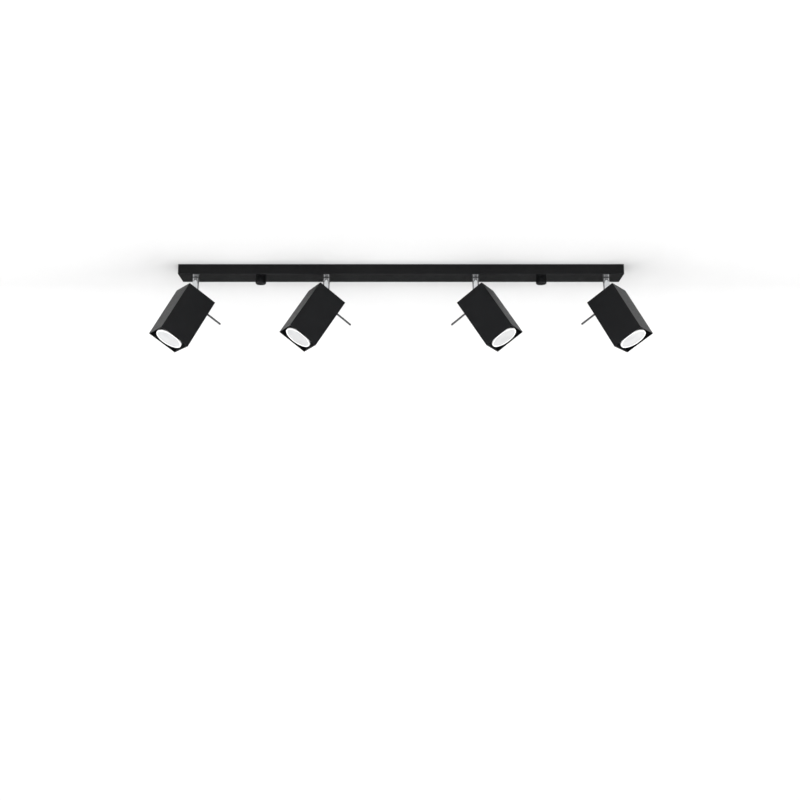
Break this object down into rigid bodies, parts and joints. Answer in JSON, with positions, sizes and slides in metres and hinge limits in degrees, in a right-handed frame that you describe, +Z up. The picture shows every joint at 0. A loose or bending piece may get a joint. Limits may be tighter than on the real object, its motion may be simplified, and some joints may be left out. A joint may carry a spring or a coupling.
{
  "type": "ceiling spotlight bar",
  "caption": "Ceiling spotlight bar: a slim black steel channel carrying square tubular spot heads that swivel and tilt on chrome stems, each with a recessed frosted reflector lamp.",
  "frame": {"origin": "middle of the bar on the ceiling plane, at the top face of the ceiling strap", "axes": "+X along the bar, +Z up into the ceiling, -Y the side that faces the room"},
  "size_m": [0.8972, 0.1032, 0.1544],
  "materials": {
    "bar_paint": "semi-gloss black paint",
    "head_paint": "fine textured black powder coat",
    "zinc": "zinc plated",
    "chrome": "polished",
    "rubber": "matte",
    "nylon": "natural nylon",
    "black_nylon": "black nylon",
    "brass": "machined",
    "live_insulation": "brown insulation",
    "neutral_insulation": "blue insulation",
    "earth_insulation": "green and yellow insulation",
    "black_pin": "black oxide",
    "ceramic": "white steatite, glazed",
    "lamp_housing": "dark grey moulded, heat resistant",
    "lamp_lens": "frosted diffuser with a white rim"
  },
  "bodies": {
    "bar": {"bar_cover": "bar_paint", "ceiling_strap": "zinc", "strap_studs": "zinc", "cap_nuts": "bar_paint", "cable_grommet": "rubber", "terminal_block": "nylon", "terminal_clamps": "brass", "live_wires": "live_insulation", "neutral_wires": "neutral_insulation", "earth_lead": "earth_insulation", "earth_nut": "brass", "swivel_bushes": "black_nylon"},
    "swivel_1": {"swivel_stem_1": "chrome", "stop_washer_1": "zinc", "swivel_nut_1": "zinc"},
    "head_1": {"head_shell_1": "head_paint", "pivot_bracket_1": "zinc", "pivot_screw_1": "zinc", "pivot_nut_1": "zinc", "handle_pin_1": "black_pin", "lamp_socket_1": "ceramic", "socket_screws_1": "zinc"},
    "lamp_1": {"lamp_body_1": "lamp_housing", "lamp_lens_1": "lamp_lens"},
    "swivel_2": {"swivel_stem_2": "chrome", "stop_washer_2": "zinc", "swivel_nut_2": "zinc"},
    "head_2": {"head_shell_2": "head_paint", "pivot_bracket_2": "zinc", "pivot_screw_2": "zinc", "pivot_nut_2": "zinc", "handle_pin_2": "black_pin", "lamp_socket_2": "ceramic", "socket_screws_2": "zinc"},
    "lamp_2": {"lamp_body_2": "lamp_housing", "lamp_lens_2": "lamp_lens"},
    "swivel_3": {"swivel_stem_3": "chrome", "stop_washer_3": "zinc", "swivel_nut_3": "zinc"},
    "head_3": {"head_shell_3": "head_paint", "pivot_bracket_3": "zinc", "pivot_screw_3": "zinc", "pivot_nut_3": "zinc", "handle_pin_3": "black_pin", "lamp_socket_3": "ceramic", "socket_screws_3": "zinc"},
    "lamp_3": {"lamp_body_3": "lamp_housing", "lamp_lens_3": "lamp_lens"},
    "swivel_4": {"swivel_stem_4": "chrome", "stop_washer_4": "zinc", "swivel_nut_4": "zinc"},
    "head_4": {"head_shell_4": "head_paint", "pivot_bracket_4": "zinc", "pivot_screw_4": "zinc", "pivot_nut_4": "zinc", "handle_pin_4": "black_pin", "lamp_socket_4": "ceramic", "socket_screws_4": "zinc"},
    "lamp_4": {"lamp_body_4": "lamp_housing", "lamp_lens_4": "lamp_lens"}
  },
  "joints": [
    {"name": "pan_1", "type": "hinge", "parent": "bar", "child": "swivel_1", "pos_m": [-0.3718, 0, -0.057], "axis": [0, 0, 1], "range_deg": [-109.3, 220.7]},
    {"name": "tilt_1", "type": "hinge", "parent": "swivel_1", "child": "head_1", "pos_m": [-0.3718, 0, -0.057], "axis": [-0.5635, 0.8261, 0], "range_deg": [-69.5, 30.5]},
    {"name": "lamp_twist_1", "type": "hinge", "parent": "head_1", "child": "lamp_1", "pos_m": [-0.39186, -0.01369, -0.09749], "axis": [-0.4068, -0.2775, -0.8704], "range_deg": [0, 25]},
    {"name": "pan_2", "type": "hinge", "parent": "bar", "child": "swivel_2", "pos_m": [-0.1351, 0, -0.057], "axis": [0, 0, 1], "range_deg": [-100.4, 229.6]},
    {"name": "tilt_2", "type": "hinge", "parent": "swivel_2", "child": "head_2", "pos_m": [-0.1351, 0, -0.057], "axis": [-0.4289, 0.9033, 0], "range_deg": [-73.4, 26.6]},
    {"name": "lamp_twist_2", "type": "hinge", "parent": "head_2", "child": "lamp_2", "pos_m": [-0.15948, -0.01158, -0.09574], "axis": [-0.4973, -0.2361, -0.8348], "range_deg": [0, 25]},
    {"name": "pan_3", "type": "hinge", "parent": "bar", "child": "swivel_3", "pos_m": [0.1351, 0, -0.057], "axis": [0, 0, 1], "range_deg": [-229.6, 100.4]},
    {"name": "tilt_3", "type": "hinge", "parent": "swivel_3", "child": "head_3", "pos_m": [0.1351, 0, -0.057], "axis": [-0.4289, -0.9033, 0], "range_deg": [-73.4, 26.6]},
    {"name": "lamp_twist_3", "type": "hinge", "parent": "head_3", "child": "lamp_3", "pos_m": [0.15948, -0.01158, -0.09574], "axis": [0.4973, -0.2361, -0.8348], "range_deg": [0, 25]},
    {"name": "pan_4", "type": "hinge", "parent": "bar", "child": "swivel_4", "pos_m": [0.3718, 0, -0.057], "axis": [0, 0, 1], "range_deg": [-220.7, 109.3]},
    {"name": "tilt_4", "type": "hinge", "parent": "swivel_4", "child": "head_4", "pos_m": [0.3718, 0, -0.057], "axis": [-0.5635, -0.8261, 0], "range_deg": [-69.5, 30.5]},
    {"name": "lamp_twist_4", "type": "hinge", "parent": "head_4", "child": "lamp_4", "pos_m": [0.39186, -0.01369, -0.09749], "axis": [0.4068, -0.2775, -0.8704], "range_deg": [0, 25]}
  ]
}
